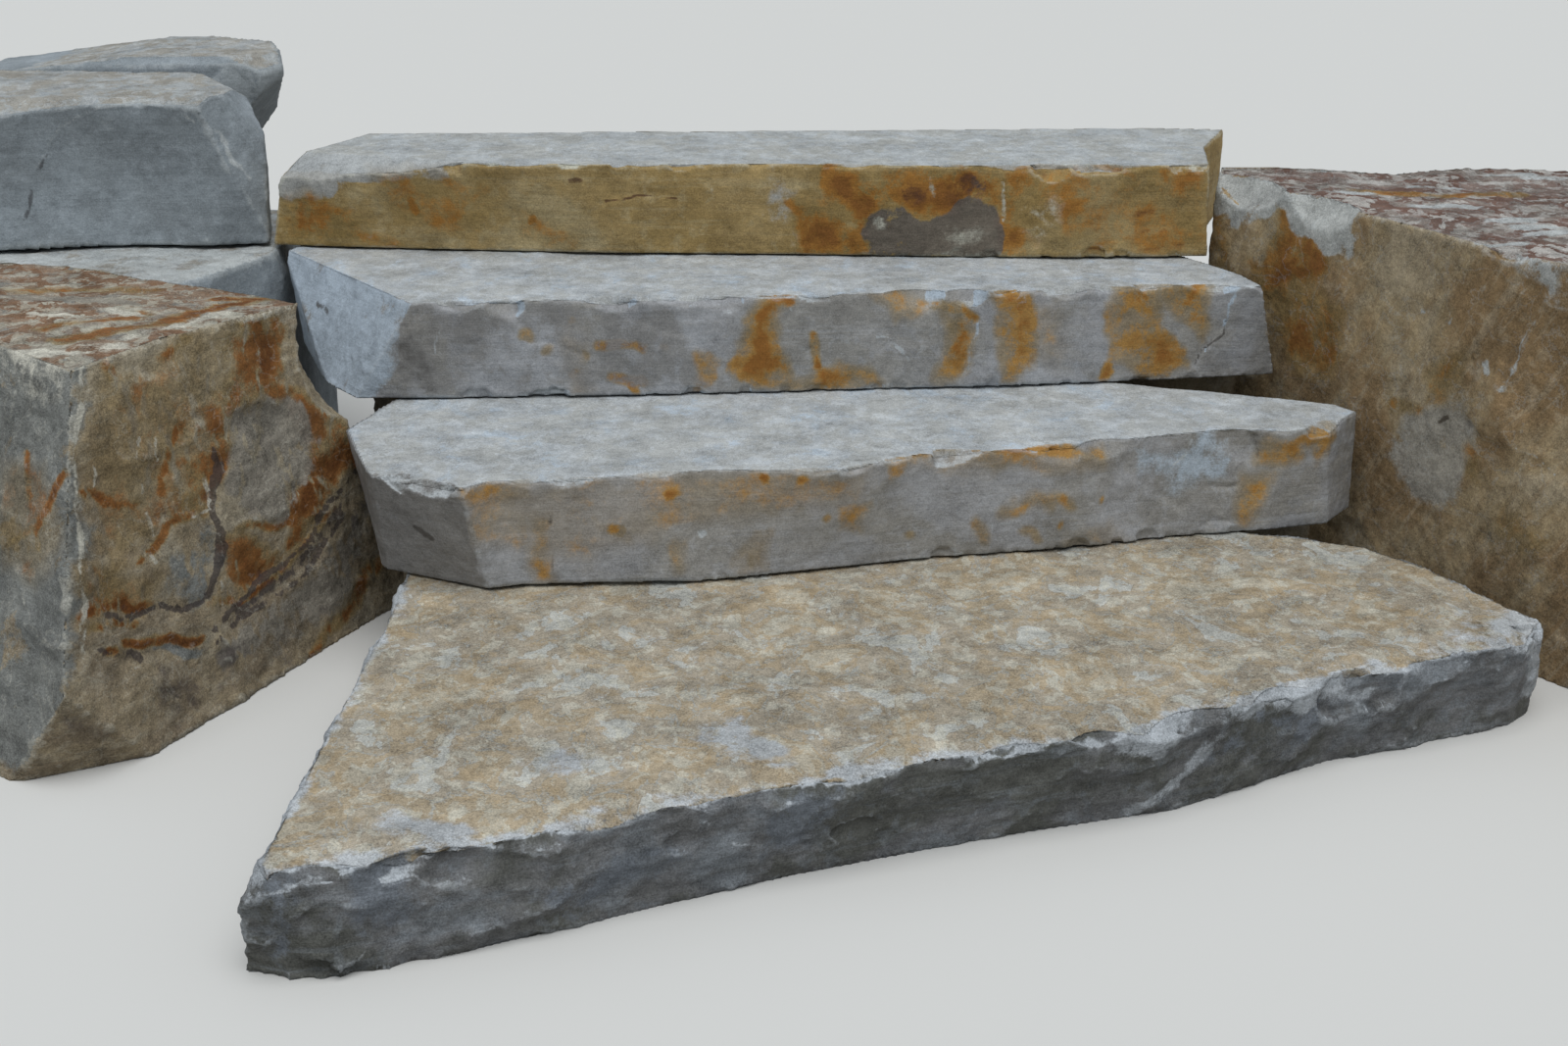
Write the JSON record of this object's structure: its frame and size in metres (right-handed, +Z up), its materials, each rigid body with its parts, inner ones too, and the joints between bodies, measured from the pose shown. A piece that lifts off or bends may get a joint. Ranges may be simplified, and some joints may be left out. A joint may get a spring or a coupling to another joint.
{
  "type": "outdoor stone steps",
  "caption": "Garden steps of thick split sandstone slabs lapped one over another between large rough boulders, on rows of rough bearing stones.",
  "frame": {"origin": "on the ground under the bottom step, on the middle line of the flight", "axes": "+Z up, +Y up the flight, +X to the right of someone who walks up"},
  "size_m": [3.427, 2.517, 0.795],
  "materials": {
    "step_stone": "split sandstone, pale grey to buff with iron staining",
    "boulder_stone": "split sandstone, grey, ochre and rust",
    "bearing_stone": "rough-squared sandstone"
  },
  "bodies": {
    "root": {"bottom_step": "step_stone", "left_lower_boulder": "boulder_stone", "left_middle_boulder": "boulder_stone", "left_rear_boulder": "boulder_stone", "left_upper_boulder": "boulder_stone", "right_boulder": "boulder_stone", "second_step": "step_stone", "second_step_bearing_1": "bearing_stone", "second_step_bearing_2": "bearing_stone", "second_step_bearing_3": "bearing_stone", "second_step_bearing_4": "bearing_stone", "third_step": "step_stone", "third_step_lower_bearing_1": "bearing_stone", "third_step_lower_bearing_2": "bearing_stone", "third_step_lower_bearing_3": "bearing_stone", "third_step_upper_bearing_1": "bearing_stone", "third_step_upper_bearing_2": "bearing_stone", "third_step_upper_bearing_3": "bearing_stone", "third_step_upper_bearing_4": "bearing_stone", "top_step": "step_stone", "top_step_lower_bearing_1": "bearing_stone", "top_step_lower_bearing_2": "bearing_stone", "top_step_lower_bearing_3": "bearing_stone", "top_step_lower_bearing_4": "bearing_stone", "top_step_middle_bearing_1": "bearing_stone", "top_step_middle_bearing_2": "bearing_stone", "top_step_middle_bearing_3": "bearing_stone", "top_step_upper_bearing_1": "bearing_stone", "top_step_upper_bearing_2": "bearing_stone", "top_step_upper_bearing_3": "bearing_stone", "top_step_upper_bearing_4": "bearing_stone"}
  },
  "joints": []
}
